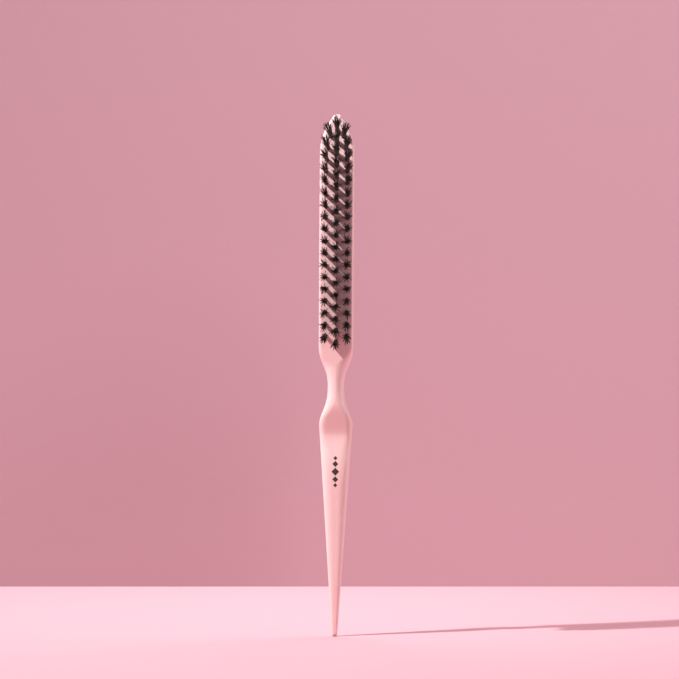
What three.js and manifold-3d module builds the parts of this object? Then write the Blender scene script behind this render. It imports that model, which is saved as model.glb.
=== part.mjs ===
// A three-row teasing brush with a pointed tail. Millimetres, +Z along the brush towards the head, the
// bristles facing -Y. The brush is one plastic moulding with a blind hole for every tuft of bristles.
// A station is a distance along the brush from the end of the tail.

import * as THREE from 'three';
import { mergeVertices } from 'three/addons/utils/BufferGeometryUtils.js';
import Module from 'manifold-3d';

const wasm = await Module();
wasm.setup();

// Driving dimensions: lengths along the brush, from the tail to the nose.
const tailLength = 90.5;
const shoulderLength = 17.2;
const throatLength = 17.3;
const headLength = 84;
const noseLength = 16;

// Driving dimensions: the moulding's sections.
const tipWidth = 2.5;
const tipDepth = 2.5;
const shoulderWidth = 14.4;
const shoulderDepth = 8.6;
const neckWidth = 7;
const neckFront = 4;
const neckBack = 3.3;
const headWidth = 14.8;
const headDepth = 8.2;
const panelFront = 4;
const handleEdge = 2.2;
const faceEdge = 1.1;
const panelRoundness = 0.5;
const archRadius = 420;
const archSummit = 25;

// Driving dimensions: the thumb hollow in the shoulder, from a long ramp up to the neck's tongue.
const hollowDepth = 2.6;
const hollowRoundness = 0.05;
const rampLength = 21;
const hollowBelowShoulder = 4;
const tongueAboveShoulder = 9.5;
const tongueFront = 4.3;

// Driving dimensions: the tufts and their holes.
const middleTufts = 19;
const rootDiameter = 1.9;
const bodyDiameter = 2.2;
const tipDiameter = 3.1;
const tuftLength = 13;
const holeDepth = 4.5;
const clearance = 0.3;
const rowMargin = 2.8;
const throatMargin = 2.1;
const noseMargin = 7.3;
const rowGather = 0.62;
const sideSplay = THREE.MathUtils.degToRad(2);
const noseSplay = THREE.MathUtils.degToRad(4.5);
const noseFan = THREE.MathUtils.degToRad(12);
const throatFan = THREE.MathUtils.degToRad(5);
const fanLength = 50;

// Stations where one stretch of the moulding meets the next.
const shoulderAt = tailLength;
const neckAt = shoulderAt + shoulderLength;
const headAt = neckAt + throatLength;
const noseAt = headAt + headLength;
const endAt = noseAt + noseLength;
const hollowAt = shoulderAt - hollowBelowShoulder;
const tongueAt = shoulderAt + tongueAboveShoulder;
const gripAt = (hollowAt + tongueAt) / 2;

// How finely curves are cut.
const edgeSteps = 3;
const backSteps = 4;
const holeSides = 10;
const tuftSides = 8;
const bisections = 30;
const tinyStep = 0.01;

const plasticMaterial = new THREE.MeshStandardMaterial({ color: 0xf0bcbe, roughness: 0.45, metalness: 0 });
const bristleMaterial = new THREE.MeshStandardMaterial({ color: 0x2a1a18, roughness: 0.5, metalness: 0 });

/** The value of a path of (station, value) curves at one station. */
function valueAt(path, station) {
  const curve = path.curves.find((piece) => station <= piece.getPoint(1).x) ?? path.curves.at(-1);
  let low = 0;
  let high = 1;
  for (let step = 0; step < bisections; step += 1) {
    const middle = (low + high) / 2;
    if (curve.getPoint(middle).x < station) {
      low = middle;
    } else {
      high = middle;
    }
  }
  return curve.getPoint((low + high) / 2).y;
}

/** Adds a smooth step that leaves and arrives level; the pulls are shares of its length. */
function stepTo(path, station, value, leavePull, arrivePull) {
  const from = path.currentPoint.clone();
  const run = station - from.x;
  path.bezierCurveTo(from.x + run * leavePull, from.y, station - run * arrivePull, value, station, value);
}

/** Half the width: a taper, a shoulder, a narrow neck, a parallel head and a pointed arch. */
function makeHalfWidth() {
  const half = headWidth / 2;
  const tip = tipWidth / 2;
  const path = new THREE.Path();
  path.moveTo(0, tip * 0.4);
  path.bezierCurveTo(0, tip * 0.8, tip * 0.3, tip, tip, tip);
  path.lineTo(shoulderAt, shoulderWidth / 2);
  stepTo(path, neckAt, neckWidth / 2, 0.35, 0.59);
  stepTo(path, headAt, half, 0.48, 0.46);
  path.lineTo(noseAt, half);
  const flankAt = endAt - noseLength * 0.09;
  path.bezierCurveTo(noseAt + noseLength * 0.4, half, endAt - noseLength * 0.25, half * 0.54, flankAt, half * 0.3);
  path.bezierCurveTo(flankAt + noseLength * 0.06, half * 0.24, endAt, half * 0.18, endAt, half * 0.08);
  return path;
}

/** The front surface's distance before the spine: panel, thumb hollow, neck and bristle face. */
function makeFront() {
  const path = new THREE.Path();
  path.moveTo(0, panelFront - tipDepth * 0.3);
  path.bezierCurveTo(0, panelFront - tipDepth * 0.1, tipDepth * 0.2, panelFront, tipDepth * 0.5, panelFront);
  path.lineTo(hollowAt - rampLength, panelFront);
  stepTo(path, hollowAt, panelFront - hollowDepth, 0.55, 0.2);
  stepTo(path, tongueAt, tongueFront, 0.2, 0.2);
  stepTo(path, neckAt, neckFront, 0.5, 0.5);
  stepTo(path, headAt, headDepth / 2, 0.5, 0.5);
  path.lineTo(endAt - noseLength * 0.2, headDepth / 2);
  path.bezierCurveTo(endAt - noseLength * 0.08, headDepth / 2, endAt, headDepth * 0.42, endAt, headDepth * 0.27);
  return path;
}

/** The back surface's distance behind the spine: it tapers to the tail and rises to the nose. */
function makeBack() {
  const tipBack = tipDepth - panelFront;
  const path = new THREE.Path();
  path.moveTo(0, tipBack - tipDepth * 0.3);
  path.bezierCurveTo(0, tipBack - tipDepth * 0.1, tipDepth * 0.2, tipBack, tipDepth * 0.5, tipBack);
  path.lineTo(shoulderAt, shoulderDepth - panelFront);
  stepTo(path, neckAt, neckBack, 0.4, 0.5);
  stepTo(path, headAt, headDepth / 2, 0.5, 0.5);
  path.lineTo(noseAt - noseLength * 0.2, headDepth / 2);
  path.bezierCurveTo(noseAt + noseLength * 0.4, headDepth / 2, endAt, headDepth * 0.4, endAt, headDepth * 0.12);
  return path;
}

/** How far a section has turned from a flat-faced bar (0) into a round rod (1). */
function makeRoundness() {
  const path = new THREE.Path();
  path.moveTo(0, panelRoundness);
  path.lineTo(hollowAt - rampLength * 0.4, panelRoundness);
  stepTo(path, hollowAt + 1.5, hollowRoundness, 0.5, 0.5);
  path.lineTo(tongueAt - 7, hollowRoundness);
  stepTo(path, tongueAt + 3.5, 1, 0.5, 0.5);
  path.lineTo(neckAt + throatLength * 0.45, 1);
  stepTo(path, headAt, 0, 0.35, 0.5);
  path.lineTo(endAt, 0);
  return path;
}

const halfWidth = makeHalfWidth();
const front = makeFront();
const back = makeBack();
const roundness = makeRoundness();

/** How far the spine stands behind the tail's: the head arches back above and below its summit. */
function spineAt(station) {
  if (station <= neckAt) {
    return 0;
  }
  const headSlope = -archSummit / archRadius;
  if (station <= headAt) {
    return (headSlope * (station - neckAt) ** 2) / (2 * throatLength);
  }
  const beyond = station - headAt - archSummit;
  return (headSlope * throatLength) / 2 + (beyond ** 2 - archSummit ** 2) / (2 * archRadius);
}

/** Points of a quarter ellipse about a centre, from one angle on to a quarter turn later. */
function quarter(centreX, centreY, radiusX, radiusY, startAngle, steps) {
  return Array.from({ length: steps + 1 }, (_, index) => {
    const angle = startAngle + (index / steps) * (Math.PI / 2);
    return new THREE.Vector2(centreX + radiusX * Math.cos(angle), centreY + radiusY * Math.sin(angle));
  });
}

/** One section's outline, from the front's middle round by +X: flat or crowned front, domed back. */
function sectionAt(station) {
  const half = valueAt(halfWidth, station);
  const frontY = spineAt(station) - valueAt(front, station);
  const backY = spineAt(station) + valueAt(back, station);
  const depth = backY - frontY;
  const flatEdge = Math.min(station < neckAt ? handleEdge : faceEdge, half * 0.45, depth * 0.4);
  const round = valueAt(roundness, station);
  const frontX = THREE.MathUtils.lerp(flatEdge, half * 0.93, round);
  const frontRise = THREE.MathUtils.lerp(flatEdge, depth * 0.47, round);
  const backX = THREE.MathUtils.lerp(half * 0.7, half * 0.93, round);
  const backRise = depth * 0.46;
  const right = [
    ...quarter(half - frontX, frontY + frontRise, frontX, frontRise, -Math.PI / 2, edgeSteps),
    ...quarter(half - backX, backY - backRise, backX, backRise, 0, backSteps),
  ];
  const left = right.map((point) => new THREE.Vector2(-point.x, point.y)).reverse();
  return [new THREE.Vector2(0, frontY), ...right, new THREE.Vector2(0, backY), ...left];
}

/** Evenly spaced stations from one to another, leaving the last one out. */
function spaced(from, to, count) {
  return Array.from({ length: count }, (_, index) => THREE.MathUtils.lerp(from, to, index / count));
}

/** The stations of the moulding's sections, closest together where it bends most. */
function sectionStations() {
  const tipEnd = tipDepth * 0.5;
  const noseSteps = 9;
  const nose = Array.from({ length: noseSteps + 1 }, (_, index) => {
    return noseAt + noseLength * Math.sin((index / noseSteps) * (Math.PI / 2));
  });
  return [
    ...spaced(0, tipEnd, 3),
    ...spaced(tipEnd, hollowAt - rampLength, 3),
    ...spaced(hollowAt - rampLength, hollowAt, 7),
    ...spaced(hollowAt, tongueAt, 9),
    ...spaced(tongueAt, neckAt, 5),
    ...spaced(neckAt, headAt, 9),
    ...spaced(headAt, noseAt, 8),
    ...nose,
  ];
}

/** Keeps only positions and joins equal vertices, so that a closed geometry has no seams. */
function weld(geometry) {
  const bare = geometry.clone();
  bare.deleteAttribute('normal');
  bare.deleteAttribute('uv');
  return mergeVertices(bare, 1e-5);
}

/** A closed geometry as a solid that can be joined and cut. */
function toSolid(geometry) {
  const welded = weld(geometry);
  const vertProperties = new Float32Array(welded.attributes.position.array);
  const triVerts = new Uint32Array(welded.index.array);
  return new wasm.Manifold(new wasm.Mesh({ numProp: 3, vertProperties, triVerts }));
}

/** A solid as a geometry again. */
function toGeometry(solid) {
  const mesh = solid.getMesh();
  const geometry = new THREE.BufferGeometry();
  geometry.setAttribute('position', new THREE.BufferAttribute(new Float32Array(mesh.vertProperties), 3));
  geometry.setIndex(new THREE.BufferAttribute(new Uint32Array(mesh.triVerts), 1));
  geometry.computeVertexNormals();
  return geometry;
}

/** The moulding before it is cut: a closed cylinder whose rings are moved onto the sections. */
function makeBlank() {
  const stations = sectionStations();
  const sections = stations.map(sectionAt);
  const sides = sections[0].length;
  const rings = stations.length - 1;
  const geometry = new THREE.CylinderGeometry(1, 1, rings, sides, rings);
  const position = geometry.attributes.position;
  for (let vertex = 0; vertex < position.count; vertex += 1) {
    const sideways = position.getX(vertex);
    const forwards = position.getZ(vertex);
    const ring = Math.round(position.getY(vertex) + rings / 2);
    const side = Math.round((Math.atan2(sideways, forwards) / (2 * Math.PI)) * sides + sides) % sides;
    const section = sections[ring];
    const onAxis = Math.hypot(sideways, forwards) < 0.5;
    const centre = new THREE.Vector2(0, (section[0].y + section[sides / 2].y) / 2);
    const point = onAxis ? centre : section[side];
    position.setXYZ(vertex, point.x, point.y, stations[ring] - gripAt);
  }
  return geometry;
}

/** How strongly the tufts fan at a station, from 0 a fan's length from a tuft to 1 at that tuft. */
function fanAt(station, tuftStation) {
  const nearness = 1 - Math.abs(station - tuftStation) / fanLength;
  return Math.max(nearness, 0) ** 2;
}

/** Where a tuft leaves the face, and the way it points: square to the arch, fanned at its ends. */
function seatOf(row, station) {
  const noseward = fanAt(station, endAt - noseMargin);
  const rowOffset = (headWidth / 2 - rowMargin) * (1 - rowGather * noseward ** 4);
  const faceY = spineAt(station) - valueAt(front, station);
  const lean = (spineAt(station + tinyStep) - spineAt(station - tinyStep)) / (2 * tinyStep);
  const upwards = noseFan * noseward;
  const downwards = throatFan * fanAt(station, headAt + throatMargin);
  const up = Math.atan(lean) + upwards - downwards;
  const out = row * (sideSplay + noseSplay * noseward);
  const direction = new THREE.Vector3(Math.tan(out), -1, Math.tan(up)).normalize();
  return { root: new THREE.Vector3(row * rowOffset, faceY, station - gripAt), direction };
}

/** Every tuft's name and seat: the middle row, and a row each side that stands between its tufts. */
function tuftSeats() {
  const first = headAt + throatMargin;
  const last = endAt - noseMargin;
  const pitch = (last - first) / (middleTufts - 1);
  const rows = [
    { name: 'left', row: -1, count: middleTufts - 1, start: first + pitch / 2 },
    { name: 'middle', row: 0, count: middleTufts, start: first },
    { name: 'right', row: 1, count: middleTufts - 1, start: first + pitch / 2 },
  ];
  return rows.flatMap(({ name, row, count, start }) => Array.from({ length: count }, (_, index) => {
    const number = String(index + 1).padStart(2, '0');
    return { name: `tuft_${name}_${number}`, ...seatOf(row, start + index * pitch) };
  }));
}

/** The turn that stands a piece made along +Y on a seat. */
function turnTo(direction) {
  return new THREE.Quaternion().setFromUnitVectors(new THREE.Vector3(0, 1, 0), direction);
}

/** The tool for one tuft's blind hole, from clear of the face down to the hole's floor. Its flat
 * sides, not its corners, stand the clearance off the tuft. */
function makeHoleTool(seat) {
  const radius = (rootDiameter / 2 + clearance) / Math.cos(Math.PI / holeSides);
  const proud = 2;
  const geometry = new THREE.CylinderGeometry(radius, radius, holeDepth + proud, holeSides);
  geometry.translate(0, (proud - holeDepth) / 2, 0);
  geometry.applyQuaternion(turnTo(seat.direction));
  geometry.translate(seat.root.x, seat.root.y, seat.root.z);
  return geometry;
}

/** One tuft: a straight root that stands in its hole, and a body that opens towards its end. */
function makeTuftGeometry() {
  const profile = [
    new THREE.Vector2(0, clearance - holeDepth),
    new THREE.Vector2(rootDiameter / 2, clearance - holeDepth),
    new THREE.Vector2(rootDiameter / 2, clearance),
    new THREE.Vector2(bodyDiameter / 2, tuftLength * 0.5),
    new THREE.Vector2(tipDiameter / 2, tuftLength * 0.92),
    new THREE.Vector2(tipDiameter * 0.36, tuftLength),
    new THREE.Vector2(0, tuftLength),
  ];
  return weld(new THREE.LatheGeometry(profile, tuftSides));
}

const brush = new THREE.Group();
const seats = tuftSeats();

let moulding = toSolid(makeBlank());
for (const seat of seats) {
  moulding = moulding.subtract(toSolid(makeHoleTool(seat)));
}
const handleBody = new THREE.Mesh(toGeometry(moulding), plasticMaterial);
handleBody.name = 'handle_body';
brush.add(handleBody);

const tuftGeometry = makeTuftGeometry();
for (const seat of seats) {
  const tuft = new THREE.Mesh(tuftGeometry, bristleMaterial);
  tuft.name = seat.name;
  tuft.position.copy(seat.root);
  tuft.quaternion.copy(turnTo(seat.direction));
  brush.add(tuft);
}

export default brush;
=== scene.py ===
"""A three-row teasing brush: one satin moulding, its tufts of bristle and the anchors that hold them."""

import logging
import math
from collections.abc import Callable, Sequence
from dataclasses import dataclass
from enum import Enum
from functools import cached_property

import bmesh
import bpy
import numpy as np
from mathutils import Matrix, Vector
from mathutils.geometry import interpolate_bezier


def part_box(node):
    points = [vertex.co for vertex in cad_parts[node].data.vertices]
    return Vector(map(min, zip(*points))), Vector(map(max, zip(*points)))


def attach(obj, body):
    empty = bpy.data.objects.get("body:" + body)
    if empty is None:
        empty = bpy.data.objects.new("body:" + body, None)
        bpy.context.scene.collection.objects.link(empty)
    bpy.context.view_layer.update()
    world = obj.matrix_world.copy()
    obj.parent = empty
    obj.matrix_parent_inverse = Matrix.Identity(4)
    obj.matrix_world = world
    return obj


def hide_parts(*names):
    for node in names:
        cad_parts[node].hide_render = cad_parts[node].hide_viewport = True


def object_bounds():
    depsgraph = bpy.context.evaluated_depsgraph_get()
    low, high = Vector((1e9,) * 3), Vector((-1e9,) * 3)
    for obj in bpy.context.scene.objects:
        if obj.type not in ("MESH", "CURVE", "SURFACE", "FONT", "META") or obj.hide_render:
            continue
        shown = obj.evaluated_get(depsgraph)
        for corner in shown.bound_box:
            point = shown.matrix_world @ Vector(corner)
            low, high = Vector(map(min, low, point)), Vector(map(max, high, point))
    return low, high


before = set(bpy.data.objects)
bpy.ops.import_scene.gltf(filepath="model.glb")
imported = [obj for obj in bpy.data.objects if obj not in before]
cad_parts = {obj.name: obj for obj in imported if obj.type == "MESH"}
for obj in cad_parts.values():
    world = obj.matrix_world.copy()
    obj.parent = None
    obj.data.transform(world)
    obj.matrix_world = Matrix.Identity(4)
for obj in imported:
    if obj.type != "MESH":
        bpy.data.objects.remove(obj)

LOG = logging.getLogger("teasing_brush")
CAD_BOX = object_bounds()
BODY = "root"
MM = 0.001
TUFT_SUNK = 4.2 * MM  # how far each CAD tuft reaches into its hole
FULL_TURN = 2 * math.pi
QUARTER_TURN = math.pi / 2
GOLDEN_TURN = math.pi * (3 - math.sqrt(5))

Point2 = tuple[float, float]


class Row(Enum):
    """The three rows of tufts, by the name that their CAD nodes carry."""

    LEFT = "left"
    MIDDLE = "middle"
    RIGHT = "right"


class Reach(Enum):
    """What a lamp lights, as cards and flags round a set would have it."""

    PART = "part"
    FLOOR = "floor"
    WALL = "wall"


class Slot(Enum):
    """The record's material slots."""

    PLASTIC = "pink_plastic"
    BRISTLE = "bristle"
    ANCHOR = "anchor_metal"
    INK = "print_ink"


# ------------------------------------------------------------
# Colour and nodes
# ------------------------------------------------------------


def linear_colour(hex_code: str) -> tuple[float, float, float, float]:
    """Turns an sRGB hex value into the linear colour that a shader takes.

    Args:
        hex_code: Six hex digits, with or without a leading hash.

    Returns:
        Red, green, blue and an alpha of one.
    """
    digits = hex_code.lstrip("#")
    channels = [int(digits[index:index + 2], 16) / 255 for index in (0, 2, 4)]
    linear = [c / 12.92 if c <= 0.04045 else ((c + 0.055) / 1.055) ** 2.4 for c in channels]
    return (*linear, 1.0)


def per_mm(size: float) -> float:
    """Gives the texture scale, on coordinates in metres, of a feature this many millimetres wide."""
    return 1 / (size * MM)


def add_node(tree: bpy.types.NodeTree, kind: str, settings: dict | None = None,
             inputs: dict | None = None) -> bpy.types.Node:
    """Adds a node with its settings and links.

    Args:
        tree: The node tree that takes it.
        kind: The node's type.
        settings: Values of the node's own properties, by name.
        inputs: A value, or an output socket to link from, for each input's name or number.

    Returns:
        The new node.
    """
    node = tree.nodes.new(kind)
    for name, value in (settings or {}).items():
        setattr(node, name, value)
    for key, value in (inputs or {}).items():
        if isinstance(value, bpy.types.NodeSocket):
            tree.links.new(value, node.inputs[key])
        else:
            node.inputs[key].default_value = value
    return node


def empty_material(name: str) -> tuple[bpy.types.Material, bpy.types.NodeTree]:
    """Makes a material with an empty node tree.

    Args:
        name: The material's name, which says what the real one is.

    Returns:
        The material and its tree.
    """
    material = bpy.data.materials.new(name)
    material.use_nodes = True
    material.node_tree.nodes.clear()
    return material, material.node_tree


def close_material(tree: bpy.types.NodeTree, shader: bpy.types.Node) -> None:
    """Ends a material's tree in its surface output."""
    add_node(tree, "ShaderNodeOutputMaterial", inputs={"Surface": shader.outputs[0]})


@dataclass(frozen=True)
class MouldedPlastic:
    """Satin injection-moulded ABS, from a spark-eroded mould, with a fine parting line.

    Pigmented ABS is slightly cloudy and lets a little light in, so its shaded edges glow. A spark-eroded
    mould leaves a very fine grain that widens the highlights, and shrinkage leaves faint ripples that
    break them. The two halves of the mould meet in a thin raised line round the sides.
    """

    name: str = "moulded_satin_abs_pale_pink"
    body_hex: str = "#E8BAB9"
    cool_hex: str = "#E2B2B4"
    line_hex: str = "#D4A0A4"
    cloud_mm: float = 22.0
    grain_mm: float = 0.35  # really about 0.05, drawn coarser so that it shows
    grain_depth_mm: float = 0.012
    ripple_mm: float = 5.0
    ripple_depth_mm: float = 0.01
    line_width_mm: float = 0.12  # really about 0.05, drawn wider so that it shows
    line_height_mm: float = 0.05
    roughness: float = 0.42
    roughness_spread: float = 0.1
    ior: float = 1.49
    glow: float = 0.12
    glow_mm: float = 0.9
    glow_tint: tuple[float, float, float] = (1.0, 0.45, 0.4)

    def build(self) -> bpy.types.Material:
        """Builds the finish: clouded pigment, a satin grain, faint ripples and a parting line."""
        material, tree = empty_material(self.name)
        place = add_node(tree, "ShaderNodeTexCoord").outputs["Object"]
        cloud = add_node(tree, "ShaderNodeTexNoise", inputs={
            "Vector": place, "Scale": per_mm(self.cloud_mm), "Detail": 3.0, "Roughness": 0.5})
        pigment = add_node(tree, "ShaderNodeMix", {"data_type": "RGBA"}, {
            0: cloud.outputs[0], 6: linear_colour(self.body_hex), 7: linear_colour(self.cool_hex)})
        parting = add_node(tree, "ShaderNodeAttribute", {"attribute_name": "parting_mm"})
        distance = add_node(tree, "ShaderNodeMath", {"operation": "ABSOLUTE"}, {0: parting.outputs["Fac"]})
        line = add_node(tree, "ShaderNodeMapRange", {"interpolation_type": "SMOOTHSTEP"}, {
            "Value": distance.outputs[0], "From Min": 0.0, "From Max": self.line_width_mm,
            "To Min": 1.0, "To Max": 0.0})
        colour = add_node(tree, "ShaderNodeMix", {"data_type": "RGBA"}, {
            0: line.outputs[0], 6: pigment.outputs[2], 7: linear_colour(self.line_hex)})
        grain = add_node(tree, "ShaderNodeTexNoise", inputs={
            "Vector": place, "Scale": per_mm(self.grain_mm), "Detail": 2.0, "Roughness": 0.6})
        ripple = add_node(tree, "ShaderNodeTexNoise", inputs={
            "Vector": place, "Scale": per_mm(self.ripple_mm), "Detail": 1.0})
        polish = add_node(tree, "ShaderNodeMapRange", inputs={
            "Value": ripple.outputs[0], "From Min": 0.3, "From Max": 0.7,
            "To Min": self.roughness - self.roughness_spread / 2,
            "To Max": self.roughness + self.roughness_spread / 2})
        satin = add_node(tree, "ShaderNodeBump", inputs={
            "Height": grain.outputs[0], "Distance": self.grain_depth_mm * MM, "Strength": 0.6})
        waves = add_node(tree, "ShaderNodeBump", inputs={
            "Height": ripple.outputs[0], "Distance": self.ripple_depth_mm * MM, "Strength": 1.0,
            "Normal": satin.outputs[0]})
        flash = add_node(tree, "ShaderNodeBump", inputs={
            "Height": line.outputs[0], "Distance": self.line_height_mm * MM, "Strength": 1.0,
            "Normal": waves.outputs[0]})
        shader = add_node(tree, "ShaderNodeBsdfPrincipled", inputs={
            "Base Color": colour.outputs[2], "Roughness": polish.outputs[0], "Normal": flash.outputs[0],
            "IOR": self.ior, "Subsurface Weight": self.glow, "Subsurface Radius": self.glow_tint,
            "Subsurface Scale": self.glow_mm * MM})
        close_material(tree, shader)
        return material


@dataclass(frozen=True)
class DyedBristle:
    """Boar bristle dyed brown-black: a satin hair, a little lighter and duller at its split end.

    No two hairs take the dye alike, so each has its own tone. The scales of the cuticle break the
    highlight along the hair.
    """

    name: str = "dyed_boar_bristle"
    dark_hex: str = "#0D0706"
    brown_hex: str = "#2C1A15"
    tip_hex: str = "#402B24"
    worn_from: float = 0.8
    worn_share: float = 0.4
    cuticle_mm: float = 0.3  # really about 0.02, drawn coarser so that it shows
    cuticle_depth_mm: float = 0.01
    roughness: float = 0.45
    ior: float = 1.55

    def build(self) -> bpy.types.Material:
        """Builds the finish from each hair's own tone and the place along it."""
        material, tree = empty_material(self.name)
        place = add_node(tree, "ShaderNodeTexCoord").outputs["Object"]
        tone = add_node(tree, "ShaderNodeAttribute", {"attribute_name": "tone"}).outputs["Fac"]
        along = add_node(tree, "ShaderNodeAttribute", {"attribute_name": "along"}).outputs["Fac"]
        dye = add_node(tree, "ShaderNodeMix", {"data_type": "RGBA"}, {
            0: tone, 6: linear_colour(self.dark_hex), 7: linear_colour(self.brown_hex)})
        worn = add_node(tree, "ShaderNodeMapRange", inputs={
            "Value": along, "From Min": self.worn_from, "From Max": 1.0, "To Min": 0.0,
            "To Max": self.worn_share})
        colour = add_node(tree, "ShaderNodeMix", {"data_type": "RGBA"}, {
            0: worn.outputs[0], 6: dye.outputs[2], 7: linear_colour(self.tip_hex)})
        cuticle = add_node(tree, "ShaderNodeTexNoise", inputs={
            "Vector": place, "Scale": per_mm(self.cuticle_mm), "Detail": 2.0})
        polish = add_node(tree, "ShaderNodeMapRange", inputs={
            "Value": cuticle.outputs[0], "To Min": self.roughness - 0.08, "To Max": self.roughness + 0.14})
        scales = add_node(tree, "ShaderNodeBump", inputs={
            "Height": cuticle.outputs[0], "Distance": self.cuticle_depth_mm * MM, "Strength": 0.4})
        shader = add_node(tree, "ShaderNodeBsdfPrincipled", inputs={
            "Base Color": colour.outputs[2], "Roughness": polish.outputs[0], "Normal": scales.outputs[0],
            "IOR": self.ior})
        close_material(tree, shader)
        return material


@dataclass(frozen=True)
class DrawnSteel:
    """Drawn steel strip: bare metal whose fine lines along the pull stretch its highlights."""

    name: str = "drawn_steel_strip"
    steel_hex: str = "#C4C0B8"
    dull_hex: str = "#9B978F"
    line_mm: float = 0.12  # really about 0.02, drawn coarser so that it shows
    line_stretch: float = 12.0
    roughness: float = 0.3

    def build(self) -> bpy.types.Material:
        """Builds the finish from noise that is stretched along the strip."""
        material, tree = empty_material(self.name)
        place = add_node(tree, "ShaderNodeTexCoord").outputs["Object"]
        drawn = add_node(tree, "ShaderNodeMapping", inputs={
            "Vector": place, "Scale": (1 / self.line_stretch, 1.0, 1.0)})
        lines = add_node(tree, "ShaderNodeTexNoise", inputs={
            "Vector": drawn.outputs[0], "Scale": per_mm(self.line_mm), "Detail": 2.0})
        colour = add_node(tree, "ShaderNodeMix", {"data_type": "RGBA"}, {
            0: lines.outputs[0], 6: linear_colour(self.steel_hex), 7: linear_colour(self.dull_hex)})
        polish = add_node(tree, "ShaderNodeMapRange", inputs={
            "Value": lines.outputs[0], "To Min": self.roughness - 0.08, "To Max": self.roughness + 0.12})
        shader = add_node(tree, "ShaderNodeBsdfPrincipled", inputs={
            "Base Color": colour.outputs[2], "Roughness": polish.outputs[0], "Metallic": 1.0})
        close_material(tree, shader)
        return material


@dataclass(frozen=True)
class PadPrintedInk:
    """Pad-printed ink: a thin matt film that lets the pink through a little where it is thinner."""

    name: str = "pad_printed_ink"
    ink_hex: str = "#241A1B"
    thin_hex: str = "#3E2D2F"
    mottle_mm: float = 0.5
    film_depth_mm: float = 0.01
    roughness: float = 0.55

    def build(self) -> bpy.types.Material:
        """Builds the finish from a mottled film."""
        material, tree = empty_material(self.name)
        place = add_node(tree, "ShaderNodeTexCoord").outputs["Object"]
        mottle = add_node(tree, "ShaderNodeTexNoise", inputs={
            "Vector": place, "Scale": per_mm(self.mottle_mm), "Detail": 3.0})
        colour = add_node(tree, "ShaderNodeMix", {"data_type": "RGBA"}, {
            0: mottle.outputs[0], 6: linear_colour(self.ink_hex), 7: linear_colour(self.thin_hex)})
        film = add_node(tree, "ShaderNodeBump", inputs={
            "Height": mottle.outputs[0], "Distance": self.film_depth_mm * MM, "Strength": 0.3})
        shader = add_node(tree, "ShaderNodeBsdfPrincipled", inputs={
            "Base Color": colour.outputs[2], "Roughness": self.roughness, "Normal": film.outputs[0]})
        close_material(tree, shader)
        return material


@dataclass(frozen=True)
class StudioPaper:
    """Matt background paper, with nothing to see from its back."""

    name: str
    paper_hex: str
    fibre_mm: float = 1.5  # really about 0.3, drawn coarser so that it shows
    tooth_depth_mm: float = 0.02

    def build(self) -> bpy.types.Material:
        """Builds the finish: one colour, a faint tooth and a clear back, to look past it from behind."""
        material, tree = empty_material(self.name)
        place = add_node(tree, "ShaderNodeTexCoord").outputs["Object"]
        tooth = add_node(tree, "ShaderNodeTexNoise", inputs={
            "Vector": place, "Scale": per_mm(self.fibre_mm), "Detail": 2.0})
        bump = add_node(tree, "ShaderNodeBump", inputs={
            "Height": tooth.outputs[0], "Distance": self.tooth_depth_mm * MM, "Strength": 0.3})
        shader = add_node(tree, "ShaderNodeBsdfPrincipled", inputs={
            "Base Color": linear_colour(self.paper_hex), "Roughness": 0.9, "Specular IOR Level": 0.1,
            "Normal": bump.outputs[0]})
        back = add_node(tree, "ShaderNodeNewGeometry").outputs["Backfacing"]
        clear = add_node(tree, "ShaderNodeBsdfTransparent")
        one_sided = add_node(tree, "ShaderNodeMixShader", inputs={
            0: back, 1: shader.outputs[0], 2: clear.outputs[0]})
        close_material(tree, one_sided)
        return material


# ------------------------------------------------------------
# Meshes and pieces
# ------------------------------------------------------------


def finish_piece(name: str, mesh: bpy.types.Mesh, material: bpy.types.Material,
                 replaced: Sequence[str] = ()) -> bpy.types.Object:
    """Makes a mesh into a piece that rides on the brush.

    Args:
        name: The piece's name.
        mesh: Its mesh, already in place.
        material: Its finish.
        replaced: The CAD nodes that it stands for.

    Returns:
        The new object.
    """
    mesh.name = name
    mesh.materials.append(material)
    piece = bpy.data.objects.new(name, mesh)
    bpy.context.scene.collection.objects.link(piece)
    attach(piece, BODY)
    if replaced:
        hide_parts(*replaced)
    return piece


def to_mesh(bm: bmesh.types.BMesh, name: str, smooth: bool = True) -> bpy.types.Mesh:
    """Turns a bmesh into a mesh and frees it.

    Args:
        bm: The finished bmesh.
        name: The mesh's name.
        smooth: Whether its faces are shaded smooth.

    Returns:
        The mesh.
    """
    for face in bm.faces:
        face.smooth = smooth
    mesh = bpy.data.meshes.new(name)
    bm.to_mesh(mesh)
    bm.free()
    return mesh


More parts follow.
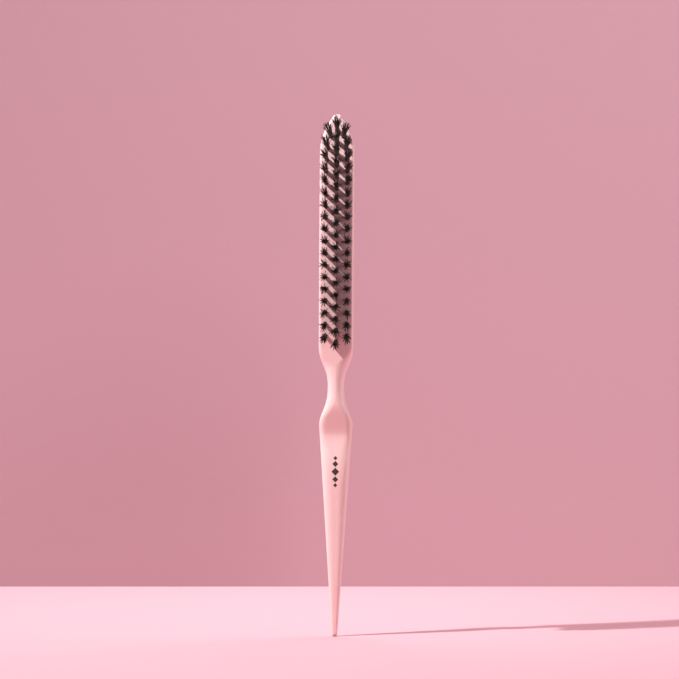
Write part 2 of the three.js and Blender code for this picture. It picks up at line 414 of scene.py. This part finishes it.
class Profile:
    """A size that changes along the brush, as a chain of Bezier stretches of (station, value)."""

    steps_per_stretch = 60

    def __init__(self, station: float, value: float) -> None:
        """Starts the chain at one point."""
        self.stations = [station]
        self.values = [value]

    @property
    def end(self) -> Point2:
        """The chain's last point."""
        return self.stations[-1], self.values[-1]

    def curve(self, leave: Point2, arrive: Point2, end: Point2) -> "Profile":
        """Adds a Bezier stretch.

        Args:
            leave: The handle at the stretch's start.
            arrive: The handle at its end.
            end: Its last point.

        Returns:
            The chain itself.
        """
        knots = [Vector((*point, 0)) for point in (self.end, leave, arrive, end)]
        for point in interpolate_bezier(*knots, self.steps_per_stretch)[1:]:
            self.stations.append(point.x)
            self.values.append(point.y)
        return self

    def line(self, station: float, value: float) -> "Profile":
        """Adds a straight stretch and returns the chain itself."""
        self.stations.append(station)
        self.values.append(value)
        return self

    def step(self, station: float, value: float, leave: float, arrive: float) -> "Profile":
        """Adds a smooth step that leaves and arrives level.

        Args:
            station: Where the step ends.
            value: Its value there.
            leave: The first handle's share of the step's length.
            arrive: The second handle's share.

        Returns:
            The chain itself.
        """
        start, level = self.end
        run = station - start
        return self.curve((start + run * leave, level), (station - run * arrive, value), (station, value))

    def at(self, station: float) -> float:
        """Gives the size at a station."""
        return float(np.interp(station, self.stations, self.values))


def mix(start: float, end: float, share: float) -> float:
    """Goes from start to end by a share."""
    return start + (end - start) * share


def quarter(centre: Point2, radii: Point2, start: float, steps: int) -> list[Point2]:
    """Gives points on a quarter of an ellipse.

    Args:
        centre: The ellipse's centre.
        radii: Its two radii.
        start: The angle of the first point.
        steps: How many steps the quarter is cut into.

    Returns:
        One more point than there are steps.
    """
    angles = [start + QUARTER_TURN * index / steps for index in range(steps + 1)]
    return [(centre[0] + radii[0] * math.cos(a), centre[1] + radii[1] * math.sin(a)) for a in angles]


# ------------------------------------------------------------
# The tufts' seats
# ------------------------------------------------------------


@dataclass(frozen=True)
class Seat:
    """Where a tuft leaves the bristle face, and how it points."""

    node: str
    row: Row
    root: Vector
    direction: Vector
    length: float

    @classmethod
    def of_node(cls, node: str, hole_depth: float) -> "Seat":
        """Reads a tuft's seat from its CAD solid.

        Args:
            node: The tuft's CAD node.
            hole_depth: How far below the face the solid starts, in metres.

        Returns:
            The seat, its root on the bristle face.
        """
        row = Row(node.split("_")[1])
        points = np.array([vertex.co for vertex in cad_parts[node].data.vertices])
        centre = (points.min(axis=0) + points.max(axis=0)) / 2
        axis = Vector(np.linalg.svd(points - points.mean(axis=0))[2][0])
        if axis.y > 0:
            axis.negate()
        reach = (points - centre) @ np.array(axis)
        spread = points - centre - np.outer(reach, np.array(axis))
        middle = Vector(centre + (spread.min(axis=0) + spread.max(axis=0)) / 2)
        root = middle + axis * (float(reach.min()) + hole_depth)
        return cls(node, row, root, axis, float(reach.max() - reach.min()) - hole_depth)


# ------------------------------------------------------------
# The moulding
# ------------------------------------------------------------


@dataclass
class Moulding:
    """The one-piece body: pointed tail, thumb hollow, round neck and drilled head.

    Sizes are in mm. A station is a distance along the brush from the tail's end.
    """

    seats: list[Seat]
    finish: MouldedPlastic
    node: str = "handle_body"
    tail_length: float = 90.5
    shoulder_length: float = 17.2
    throat_length: float = 17.3
    nose_length: float = 16.0
    tip_width: float = 2.5
    tip_depth: float = 2.5
    shoulder_width: float = 14.4
    shoulder_depth: float = 8.6
    neck_width: float = 7.0
    neck_front: float = 4.0
    neck_back: float = 3.3
    head_depth: float = 8.2
    panel_front: float = 4.0
    handle_edge: float = 2.2
    face_edge: float = 1.1
    panel_roundness: float = 0.5
    edge_share_across: float = 0.45
    edge_share_deep: float = 0.4
    round_share: float = 0.93
    round_rise: float = 0.47
    dome_share: float = 0.7
    dome_rise: float = 0.46
    arch_radius: float = 420.0
    arch_summit: float = 25.0
    hollow_depth: float = 2.6
    hollow_roundness: float = 0.05
    ramp_length: float = 21.0
    hollow_below: float = 4.0
    hollow_turn: float = 1.5
    tongue_above: float = 9.5
    tongue_front: float = 4.3
    tongue_start: float = 7.0
    tongue_turn: float = 3.5
    hole_radius: float = 1.1
    hole_chamfer: float = 0.14
    hole_depth: float = 4.3
    face_columns: int = 6
    edge_steps: int = 4
    back_steps: int = 6
    rings_per_pitch: int = 4
    nose_rings: int = 8
    face_tolerance: float = 0.01

    def __post_init__(self) -> None:
        """Takes the overall sizes from the CAD body."""
        low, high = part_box(self.node)
        self.tail_z = low.z / MM
        self.head_width = (high.x - low.x) / MM
        self.end_at = (high.z - low.z) / MM
        self.neck_at = self.tail_length + self.shoulder_length
        self.head_at = self.neck_at + self.throat_length
        self.nose_at = self.end_at - self.nose_length
        self.hollow_at = self.tail_length - self.hollow_below
        self.tongue_at = self.tail_length + self.tongue_above

    def station(self, z: float) -> float:
        """Gives the station, in mm from the tail's end, of a height in metres."""
        return z / MM - self.tail_z

    @cached_property
    def half_width(self) -> Profile:
        """Half the width: a taper, a shoulder, a narrow neck, a parallel head and a pointed arch."""
        half = self.head_width / 2
        tip = self.tip_width / 2
        flank = self.end_at - self.nose_length * 0.09
        profile = Profile(0, tip * 0.08).curve((0, tip * 0.7), (tip * 0.3, tip), (tip, tip))
        profile.line(self.tail_length, self.shoulder_width / 2)
        profile.step(self.neck_at, self.neck_width / 2, 0.35, 0.59)
        profile.step(self.head_at, half, 0.48, 0.46)
        profile.line(self.nose_at, half)
        profile.curve((self.nose_at + self.nose_length * 0.4, half),
                      (self.end_at - self.nose_length * 0.25, half * 0.54), (flank, half * 0.3))
        return profile.curve((flank + self.nose_length * 0.06, half * 0.24), (self.end_at, half * 0.18),
                             (self.end_at, half * 0.02))

    @cached_property
    def front(self) -> Profile:
        """The front surface's distance before the spine."""
        panel, tip, nose = self.panel_front, self.tip_depth, self.nose_length
        face = self.head_depth / 2
        profile = Profile(0, panel - tip * 0.45)
        profile.curve((0, panel - tip * 0.1), (tip * 0.2, panel), (tip * 0.5, panel))
        profile.line(self.hollow_at - self.ramp_length, panel)
        profile.step(self.hollow_at, panel - self.hollow_depth, 0.55, 0.2)
        profile.step(self.tongue_at, self.tongue_front, 0.2, 0.2)
        profile.step(self.neck_at, self.neck_front, 0.5, 0.5)
        profile.step(self.head_at, face, 0.5, 0.5)
        profile.line(self.end_at - nose * 0.2, face)
        return profile.curve((self.end_at - nose * 0.08, face), (self.end_at, face * 0.84),
                             (self.end_at, face * 0.5))

    @cached_property
    def back(self) -> Profile:
        """The back surface's distance behind the spine."""
        tip, nose = self.tip_depth, self.nose_length
        tip_back = tip - self.panel_front
        half = self.head_depth / 2
        profile = Profile(0, tip_back - tip * 0.45)
        profile.curve((0, tip_back - tip * 0.1), (tip * 0.2, tip_back), (tip * 0.5, tip_back))
        profile.line(self.tail_length, self.shoulder_depth - self.panel_front)
        profile.step(self.neck_at, self.neck_back, 0.4, 0.5)
        profile.step(self.head_at, half, 0.5, 0.5)
        profile.line(self.nose_at - nose * 0.2, half)
        return profile.curve((self.nose_at + nose * 0.4, half), (self.end_at, half * 0.8),
                             (self.end_at, -half * 0.1))

    def spine(self, station: float) -> float:
        """Gives how far the section stands behind the tail's: the head arches back."""
        slope = -self.arch_summit / self.arch_radius
        if station <= self.neck_at:
            return 0.0
        if station <= self.head_at:
            return slope * (station - self.neck_at) ** 2 / (2 * self.throat_length)
        beyond = station - self.head_at - self.arch_summit
        rise = (beyond ** 2 - self.arch_summit ** 2) / (2 * self.arch_radius)
        return slope * self.throat_length / 2 + rise

    @cached_property
    def roundness(self) -> Profile:
        """How far the section has turned from a flat-faced bar, 0, into a round neck, 1."""
        profile = Profile(0, self.panel_roundness)
        profile.line(self.hollow_at - self.ramp_length * 0.4, self.panel_roundness)
        profile.step(self.hollow_at + self.hollow_turn, self.hollow_roundness, 0.5, 0.5)
        profile.line(self.tongue_at - self.tongue_start, self.hollow_roundness)
        profile.step(self.tongue_at + self.tongue_turn, 1, 0.5, 0.5)
        profile.line(self.neck_at + self.throat_length * 0.45, 1)
        return profile.step(self.head_at, 0, 0.35, 0.5).line(self.end_at, 0)

    def face_y(self, station: float) -> float:
        """Gives the front surface's place at a station."""
        return self.spine(station) - self.front.at(station)

    def section(self, station: float) -> list[Point2]:
        """Gives a section's outline: a front flat in its middle, rounded edges and a domed back.

        Args:
            station: Its distance from the tail's end.

        Returns:
            Points from the front's middle round by +X, in mm.
        """
        half = self.half_width.at(station)
        front_y = self.face_y(station)
        back_y = self.spine(station) + self.back.at(station)
        depth = back_y - front_y
        edge = min(self.handle_edge if station < self.neck_at else self.face_edge,
                   half * self.edge_share_across, depth * self.edge_share_deep)
        turned = self.roundness.at(station)
        front_x = mix(edge, half * self.round_share, turned)
        front_rise = mix(edge, depth * self.round_rise, turned)
        back_x = mix(half * self.dome_share, half * self.round_share, turned)
        back_rise = depth * self.dome_rise
        flat = half - front_x
        face = [(flat * index / self.face_columns, front_y) for index in range(1, self.face_columns)]
        edge_arc = quarter((flat, front_y + front_rise), (front_x, front_rise), -QUARTER_TURN,
                           self.edge_steps)
        back_arc = quarter((half - back_x, back_y - back_rise), (back_x, back_rise), 0.0,
                           self.back_steps)
        right = [*face, *edge_arc, *back_arc, ((half - back_x) / 2, back_y)]
        left = [(-x, y) for x, y in reversed(right)]
        return [(0.0, front_y), *right, (0.0, back_y), *left]

    def parting_y(self, station: float) -> float:
        """Gives the mould's parting line on the section's sides."""
        points = self.section(station)
        front_end = points[self.face_columns + self.edge_steps]
        back_start = points[self.face_columns + self.edge_steps + 1]
        return (front_end[1] + back_start[1]) / 2

    @cached_property
    def ring_stations(self) -> list[float]:
        """The stations of the mesh's rings, on the tufts' own grid along the head."""
        middle = [self.station(seat.root.z) for seat in self.seats if seat.row is Row.MIDDLE]
        pitch = (max(middle) - min(middle)) / (len(middle) - 1)
        grid_start = min(middle) - pitch / 2
        grid_end = max(middle) + pitch / 2
        ramp_at = self.hollow_at - self.ramp_length
        tip_end = self.tip_depth * 0.5
        stretches = [
            (0.0, tip_end, 6),
            (tip_end, ramp_at, 16),
            (ramp_at, self.hollow_at, 18),
            (self.hollow_at, self.tongue_at + 4, 26),
            (self.tongue_at + 4, grid_start, 24),
            (grid_start, grid_end, len(middle) * self.rings_per_pitch),
        ]
        stations = [mix(start, end, index / count)
                    for start, end, count in stretches for index in range(count)]
        rest = self.end_at - grid_end
        nose = [grid_end + rest * math.sin(QUARTER_TURN * index / self.nose_rings)
                for index in range(self.nose_rings + 1)]
        return stations + nose

    def build_shell(self) -> bmesh.types.BMesh:
        """Builds the undrilled body: a closed cylinder whose rings are moved onto the sections."""
        stations = self.ring_stations
        sections = [self.section(station) for station in stations]
        rings = len(stations) - 1
        sides = len(sections[0])
        bm = bmesh.new()
        bmesh.ops.create_cone(bm, cap_ends=True, cap_tris=False, segments=sides, radius1=1.0, radius2=1.0,
                              depth=float(rings))
        upright = [edge for edge in bm.edges if abs(edge.verts[0].co.z - edge.verts[1].co.z) > 0.5]
        bmesh.ops.subdivide_edges(bm, edges=upright, cuts=rings - 1, use_grid_fill=True)
        parting = bm.verts.layers.float.new("parting_mm")
        for vert in bm.verts:
            ring = round(vert.co.z + rings / 2)
            side = round(math.atan2(vert.co.x, -vert.co.y) / FULL_TURN * sides) % sides
            x, y = sections[ring][side]
            station = stations[ring]
            vert[parting] = y - self.parting_y(station)
            vert.co = Vector((x, y, station + self.tail_z)) * MM
        bmesh.ops.recalc_face_normals(bm, faces=bm.faces)
        return bm

    def drill(self, bm: bmesh.types.BMesh, centre: bmesh.types.BMVert, seat: Seat) -> None:
        """Drills one tuft's blind hole where the face's grid has a crossing.

        Args:
            bm: The moulding.
            centre: The crossing that the hole is drilled at.
            seat: The tuft that stands in the hole.
        """
        rim = {vert for face in centre.link_faces for vert in face.verts} - {centre}
        for vert in rim:
            away = vert.co - centre.co
            angle = math.atan2(away.z, away.x)
            spot = seat.root + Vector((math.cos(angle), 0, math.sin(angle))) * self.hole_radius * MM
            spot.y = self.face_y(self.station(spot.z)) * MM
            vert.co = spot
        face = bmesh.utils.face_join(list(centre.link_faces))
        bmesh.ops.inset_individual(bm, faces=[face], thickness=self.hole_chamfer * MM, depth=0.0)
        for step in (self.hole_chamfer, self.hole_depth / 2, self.hole_depth / 2 - self.hole_chamfer):
            made = bmesh.ops.extrude_discrete_faces(bm, faces=[face])["faces"]
            face = made[0]
            bmesh.ops.translate(bm, verts=face.verts, vec=-seat.direction * step * MM)

    def build(self) -> bpy.types.Object:
        """Builds the drilled moulding and dresses it."""
        bm = self.build_shell()
        on_face = [vert for vert in bm.verts
                   if abs(vert.co.y / MM - self.face_y(self.station(vert.co.z))) < self.face_tolerance]
        for seat in self.seats:
            centre = min(on_face, key=lambda vert: (vert.co - seat.root).length if vert.is_valid else 1.0)
            self.drill(bm, centre, seat)
        piece = finish_piece("moulded_handle", to_mesh(bm, self.node), self.finish.build(),
                             [self.node])
        smooth = piece.modifiers.new("smooth", "SUBSURF")
        smooth.levels = smooth.render_levels = 1
        return piece


# ------------------------------------------------------------
# The tufts
# ------------------------------------------------------------


@dataclass
class Tufts:
    """Every tuft of bristle: straight in its hole, then opening into a spiky end.

    Sizes are in mm. The bristles stand on a sunflower spiral and lean out in clumps. Those of the side
    rows bend in where they would pass the head's sides.
    """

    seats: list[Seat]
    finish: DyedBristle
    bristles: int = 36
    sides: int = 4
    root_radius: float = 0.82
    bristle_radius: float = 0.15
    tip_radius: float = 0.125
    socket_depth: float = 3.6
    root_jitter: float = 0.03
    length_spread: float = 0.09
    opening: float = 0.6
    splay: float = 1.6
    clumps: int = 9
    clump_turn: float = 0.12
    clump_reach: tuple[float, float] = (0.35, 1.15)
    bristle_turn: float = 0.1
    bristle_reach: tuple[float, float] = (0.55, 1.05)
    thickness_spread: tuple[float, float] = (0.82, 1.12)
    short_power: float = 0.7
    open_power: float = 2.3
    curl: float = 0.22
    curl_power: int = 3
    sag: float = 0.35
    taper_power: float = 1.6
    socket_share: float = 0.9
    tone_shape: tuple[float, float] = (1.6, 2.4)
    free_side: float = 6.3
    soft_side: float = 1.2
    stops: tuple[float, ...] = (0.0, 0.3, 0.55, 0.75, 0.9, 1.0)
    seed: int = 71

    def build_hair(self) -> bpy.types.Mesh:
        """Builds one straight bristle a unit long, cut into rings, for every bristle to follow."""
        bm = bmesh.new()
        rings = len(self.stops)
        bmesh.ops.create_cone(bm, cap_ends=True, segments=self.sides, radius1=1.0, radius2=1.0,
                              depth=float(rings))
        upright = [edge for edge in bm.edges if abs(edge.verts[0].co.z - edge.verts[1].co.z) > 0.5]
        bmesh.ops.subdivide_edges(bm, edges=upright, cuts=rings - 1, use_grid_fill=True)
        return to_mesh(bm, "bristle")

    def build_bundle(self) -> bpy.types.Mesh:
        """Builds the straight bristles of one tuft, all in one place, as one mesh."""
        hair = self.build_hair()
        bm = bmesh.new()
        for _ in range(self.bristles):
            bm.from_mesh(hair)
        bpy.data.meshes.remove(hair)
        return to_mesh(bm, "tuft")

    def paths(self, seat: Seat, random: np.random.Generator) -> tuple[np.ndarray, np.ndarray]:
        """Lays out one tuft's bristles.

        Args:
            seat: The tuft's seat.
            random: The tuft's own source of random numbers.

        Returns:
            Each bristle's points, ring by ring, and its radius at each, in mm from the root.
        """
        count = self.bristles
        order = np.arange(count) + 0.5
        turn = order * GOLDEN_TURN + random.uniform(0, FULL_TURN)
        share = np.sqrt(order / count)
        out = np.stack([np.cos(turn), np.sin(turn)], axis=1)
        start = out * (self.root_radius * share)[:, None] + random.normal(0, self.root_jitter, (count, 2))
        clump = np.rint(turn / FULL_TURN * self.clumps).astype(int) % self.clumps
        lean = (np.arange(self.clumps) / self.clumps * FULL_TURN
                + random.normal(0, self.clump_turn, self.clumps))
        reach = random.uniform(*self.clump_reach, self.clumps)
        aim = lean[clump] + random.normal(0, self.bristle_turn, count)
        leaning = self.splay * reach[clump] * share * random.uniform(*self.bristle_reach, count)
        open_by = self.opening * share + leaning
        around = np.stack([-np.sin(turn), np.cos(turn)], axis=1) * random.normal(0, self.curl, count)[:, None]
        away = np.stack([np.cos(aim), np.sin(aim)], axis=1) * open_by[:, None]
        length = seat.length / MM * (1 - self.length_spread * random.uniform(0, 1, count) ** self.short_power)
        stops = np.array(self.stops)
        curled = stops ** self.curl_power
        flat = (start[:, None, :] + away[:, None, :] * (stops ** self.open_power)[None, :, None]
                + around[:, None, :] * curled[None, :, None])
        height = length[:, None] * stops[None, :] - self.sag * (open_by[:, None] * curled[None, :]) ** 2
        socket = np.concatenate([start * self.socket_share, np.full((count, 1), -self.socket_depth)], axis=1)
        free = np.concatenate([flat, height[:, :, None]], axis=2)
        points = np.concatenate([socket[:, None, :], free], axis=1)
        taper = np.concatenate([[0.0], stops ** self.taper_power])
        thick = self.bristle_radius * random.uniform(*self.thickness_spread, count)
        return points, thick[:, None] + (self.tip_radius - thick[:, None]) * taper[None, :]

    def place(self, mesh: bpy.types.Mesh, seat: Seat, random: np.random.Generator) -> None:
        """Moves a bundle's vertices onto one tuft's bristles and notes each one's tone.

        Args:
            mesh: A copy of the straight bundle.
            seat: The tuft's seat.
            random: The tuft's own source of random numbers.
        """
        points, radius = self.paths(seat, random)
        rings = len(self.stops)
        straight = np.empty(len(mesh.vertices) * 3, np.float32)
        mesh.vertices.foreach_get("co", straight)
        straight = straight.reshape(self.bristles, -1, 3)
        ring = np.rint(straight[:, :, 2] + rings / 2).astype(int)
        hair = np.arange(self.bristles)[:, None]
        local = points[hair, ring].copy()
        local[:, :, :2] += straight[:, :, :2] * radius[hair, ring][:, :, None]
        turn = np.array(seat.direction.to_track_quat("Z", "Y").to_matrix())
        world = local.reshape(-1, 3) @ turn.T * MM + np.array(seat.root)
        free, soft = self.free_side * MM, self.soft_side * MM
        across = np.abs(world[:, 0])
        bent = soft * (1 - np.exp(-np.maximum(across - free, 0) / soft))
        world[:, 0] = np.sign(world[:, 0]) * (np.minimum(across, free) + bent)
        mesh.vertices.foreach_set("co", world.astype(np.float32).ravel())
        tone = np.repeat(random.beta(*self.tone_shape, self.bristles), straight.shape[1])
        for name, values in (("tone", tone), ("along", (ring / rings).ravel())):
            attribute = mesh.attributes.new(name, "FLOAT", "POINT")
            attribute.data.foreach_set("value", values.astype(np.float32))
        mesh.update()

    def build(self) -> list[bpy.types.Object]:
        """Builds every tuft and dresses it."""
        material = self.finish.build()
        bundle = self.build_bundle()
        pieces = []
        for index, seat in enumerate(self.seats):
            mesh = bundle.copy()
            self.place(mesh, seat, np.random.default_rng(self.seed + index))
            pieces.append(finish_piece("bristles_" + seat.node.removeprefix("tuft_"), mesh, material,
                                       [seat.node]))
        bpy.data.meshes.remove(bundle)
        return pieces


@dataclass
class Anchors:
    """The metal strips at the bottoms of the holes, among the bristles' ends. Sizes in mm."""

    seats: list[Seat]
    finish: DrawnSteel
    width: float = 1.7
    thickness: float = 0.3
    height: float = 1.5
    floor: float = 4.1
    edge: float = 0.06

    def build(self) -> list[bpy.types.Object]:
        """Builds every anchor and dresses it."""
        material = self.finish.build()
        pieces = []
        for seat in self.seats:
            bm = bmesh.new()
            bmesh.ops.create_cube(bm, size=1.0)
            bmesh.ops.scale(bm, vec=Vector((self.width, self.thickness, self.height)) * MM, verts=bm.verts)
            bmesh.ops.bevel(bm, geom=bm.edges[:], offset=self.edge * MM, segments=2, profile=0.5,
                            affect="EDGES", material=-1)
            turn = seat.direction.to_track_quat("Z", "Y").to_matrix().to_4x4()
            depth = (self.floor - self.height / 2) * MM
            place = Matrix.Translation(seat.root - seat.direction * depth) @ turn
            bmesh.ops.transform(bm, matrix=place, verts=bm.verts)
            name = "anchor_" + seat.node.removeprefix("tuft_")
            pieces.append(finish_piece(name, to_mesh(bm, name, smooth=False), material))
        return pieces


@dataclass
class Ornament:
    """A plain printed chain of lozenges that follows the tail's front. Sizes in mm."""

    face_y: Callable[[float], float]
    tail_z: float
    finish: PadPrintedInk
    middle_station: float = 71.0
    heights: tuple[float, ...] = (3.4, 2.6, 1.8)
    slimness: float = 0.95
    gap: float = 0.3
    film: float = 0.06
    sunk: float = 0.05
    rounding: float = 0.12

    def build(self) -> bpy.types.Object:
        """Builds the lozenges as closed films of ink and dresses them."""
        bm = bmesh.new()
        centre = 0.0
        for index, height in enumerate(self.heights):
            if index:
                centre += (self.heights[index - 1] + height) / 2 + self.gap
            for side in (1, -1) if index else (1,):
                self.add_lozenge(bm, self.middle_station + side * centre, height)
        for vert in bm.verts:
            vert.co.y += self.face_y(vert.co.z / MM - self.tail_z) * MM
        bmesh.ops.recalc_face_normals(bm, faces=bm.faces)
        return finish_piece("printed_ornament", to_mesh(bm, "printed_ornament", smooth=False),
                            self.finish.build())

    def add_lozenge(self, bm: bmesh.types.BMesh, station: float, height: float) -> None:
        """Adds one lozenge.

        Args:
            bm: The ornament so far.
            station: The lozenge's middle, from the tail's end.
            height: Its height.
        """
        made = bmesh.ops.create_circle(bm, cap_ends=True, segments=4, radius=0.5)["verts"]
        place = Matrix.Translation(Vector((0, self.sunk, station + self.tail_z)) * MM)
        size = Matrix.Diagonal((height * self.slimness * MM, 1, height * MM, 1))
        upright = Matrix.Rotation(QUARTER_TURN, 4, "X")
        bmesh.ops.transform(bm, matrix=place @ size @ upright, verts=made)
        face = next(iter(made[0].link_faces))
        grown = bmesh.ops.extrude_face_region(bm, geom=[face])["geom"]
        top = [item for item in grown if isinstance(item, bmesh.types.BMVert)]
        bmesh.ops.translate(bm, verts=top, vec=Vector((0, -(self.film + self.sunk) * MM, 0)))
        bmesh.ops.bevel(bm, geom=list({edge for vert in top for edge in vert.link_edges
                                       if edge.other_vert(vert) not in top}),
                        offset=self.rounding * MM, segments=2, profile=0.5, affect="EDGES", material=-1)


# ------------------------------------------------------------
# The studio
# ------------------------------------------------------------


@dataclass(frozen=True)
class Lamp:
    """One round lamp, hard when small and soft when large. Place and aim are in the studio's frame."""

    name: str
    place: tuple[float, float, float]
    aim: tuple[float, float, float]
    size: float
    power: float
    colour_hex: str = "#FFFFFF"
    reach: Reach = Reach.PART

    def build(self, studio: Matrix) -> bpy.types.Object:
        """Builds the lamp.

        Args:
            studio: The studio's frame.

        Returns:
            The lamp's object.
        """
        light = bpy.data.lights.new(self.name, "AREA")
        light.shape = "DISK"
        light.size = self.size
        light.energy = self.power
        light.color = linear_colour(self.colour_hex)[:3]
        lamp = bpy.data.objects.new(self.name, light)
        turn = (Vector(self.aim) - Vector(self.place)).to_track_quat("-Z", "Y").to_matrix().to_4x4()
        lamp.matrix_world = studio @ Matrix.Translation(self.place) @ turn
        bpy.context.scene.collection.objects.link(lamp)
        return lamp


@dataclass
class Studio:
    """The floor, the wall behind, the lamps and the camera. Sizes in metres, from the tail's end.

    In the studio's frame the camera looks along +Y and the floor is level.
    """

    foot: Vector
    turned: float = math.radians(1.5)
    lean: float = math.radians(0.3)
    view_distance: float = 1.3
    view_height: float = 0.151
    aim: tuple[float, float, float] = (0.0021, 0.0, 0.1278)
    frame_width: float = 0.2927
    sensor: float = 36.0
    wall_distance: float = 0.211
    sheet_size: float = 6.0
    clip_start: float = 0.01
    floor_hex: str = "#F0BCC6"
    wall_hex: str = "#B98F98"
    world_hex: str = "#FFD8DC"
    world_strength: float = 0.03
    world_seen: float = 0.7

    @cached_property
    def frame(self) -> Matrix:
        """The studio's frame: the brush stands a little turned and a little aslant in it."""
        turn = Matrix.Rotation(self.turned, 4, "Z") @ Matrix.Rotation(-self.lean, 4, "Y")
        return Matrix.Translation(self.foot) @ turn

    def build_sheet(self, name: str, place: Matrix, hex_code: str) -> bpy.types.Object:
        """Builds one flat sheet of background paper.

        Args:
            name: The sheet's name.
            place: Its place in the studio's frame.
            hex_code: Its colour.

        Returns:
            The sheet's object.
        """
        bm = bmesh.new()
        bmesh.ops.create_grid(bm, x_segments=4, y_segments=4, size=self.sheet_size / 2)
        bmesh.ops.transform(bm, matrix=self.frame @ place, verts=bm.verts)
        mesh = to_mesh(bm, name)
        mesh.materials.append(StudioPaper(name + "_paper", hex_code).build())
        sheet = bpy.data.objects.new(name, mesh)
        bpy.context.scene.collection.objects.link(sheet)
        return sheet

    def build_camera(self) -> None:
        """Builds the camera, nearly level and far off."""
        camera = bpy.data.cameras.new("camera")
        camera.sensor_width = self.sensor
        camera.lens = self.sensor * self.view_distance / self.frame_width
        camera.clip_start = self.clip_start
        stand = bpy.data.objects.new("camera", camera)
        place = Vector((self.aim[0], -self.view_distance, self.view_height))
        turn = (Vector(self.aim) - place).to_track_quat("-Z", "Y").to_matrix().to_4x4()
        stand.matrix_world = self.frame @ Matrix.Translation(place) @ turn
        bpy.context.scene.collection.objects.link(stand)
        bpy.context.scene.camera = stand

    def build_world(self) -> None:
        """Builds the room: dim where it lights the set, pale where it is looked at."""
        world = bpy.data.worlds.new("pale_room")
        world.use_nodes = True
        tree = world.node_tree
        background = tree.nodes["Background"]
        background.inputs["Color"].default_value = linear_colour(self.world_hex)
        seen = add_node(tree, "ShaderNodeLightPath").outputs["Is Camera Ray"]
        level = add_node(tree, "ShaderNodeMapRange", inputs={
            "Value": seen, "To Min": self.world_strength, "To Max": self.world_seen})
        tree.links.new(level.outputs[0], background.inputs["Strength"])
        bpy.context.scene.world = world

    @staticmethod
    def limit_reach(lamp: bpy.types.Object, reach: Reach, sheets: dict[Reach, bpy.types.Object]) -> None:
        """Keeps a lamp on one sheet of paper, or off both.

        Args:
            lamp: The lamp's object.
            reach: What it may light.
            sheets: The floor and the wall.
        """
        receivers = bpy.data.collections.new(lamp.name + "_reach")
        for sheet in [sheets[reach]] if reach in sheets else sheets.values():
            receivers.objects.link(sheet)
        for entry in receivers.collection_objects:
            entry.light_linking.link_state = "INCLUDE" if reach in sheets else "EXCLUDE"
        lamp.light_linking.receiver_collection = receivers

    def build(self, lamps: Sequence[Lamp]) -> None:
        """Builds the whole studio with its lamps."""
        upright = Matrix.Translation((0, self.wall_distance, 0)) @ Matrix.Rotation(QUARTER_TURN, 4, "X")
        sheets = {Reach.FLOOR: self.build_sheet("floor", Matrix.Identity(4), self.floor_hex),
                  Reach.WALL: self.build_sheet("wall", upright, self.wall_hex)}
        self.build_camera()
        self.build_world()
        for lamp in lamps:
            self.limit_reach(lamp.build(self.frame), lamp.reach, sheets)
        bpy.context.scene.view_settings.view_transform = "Standard"


LAMPS = (
    Lamp("key", (-0.8, -0.39, 0.965), (0.0, 0.0, 0.15), 0.035, 33.0, "#F2FBF7"),
    Lamp("right_fill", (0.6, -0.12, 0.25), (0.0, 0.0, 0.12), 0.4, 2.6, "#F6FBF8"),
    Lamp("front_fill", (-0.2, -1.1, 0.5), (0.0, 0.0, 0.12), 0.8, 0.3, "#FFFFFF"),
    Lamp("floor_key", (-1.0, -0.36, 1.35), (0.0, 0.0, 0.0), 0.05, 28.0, "#FAFFFF", Reach.FLOOR),
    Lamp("floor_fill", (0.05, 0.15, 0.42), (0.05, 0.15, 0.0), 0.3, 1.3, "#FFFFFF", Reach.FLOOR),
    Lamp("wall_wash", (0.5, -1.1, 0.9), (0.0, 0.2, 0.15), 0.8, 28.0, "#FFFFFF", Reach.WALL),
)


def main() -> None:
    """Builds the brush and its studio, and reports each piece."""
    logging.basicConfig(level=logging.INFO, format="%(name)s: %(message)s")
    seats = [Seat.of_node(node, TUFT_SUNK) for node in sorted(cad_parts) if node.startswith("tuft_")]
    moulding = Moulding(seats, MouldedPlastic())
    builders: list[Callable[[], object]] = [
        moulding.build,
        Tufts(seats, DyedBristle()).build,
        Anchors(seats, DrawnSteel()).build,
        Ornament(moulding.face_y, moulding.tail_z, PadPrintedInk()).build,
    ]
    for build in builders:
        made = build()
        for piece in made if isinstance(made, list) else [made]:
            LOG.info("%s: %d faces", piece.name, len(piece.data.polygons))
    Studio(Vector((0, 0, CAD_BOX[0][2]))).build(LAMPS)


if __name__ == "__main__":
    main()
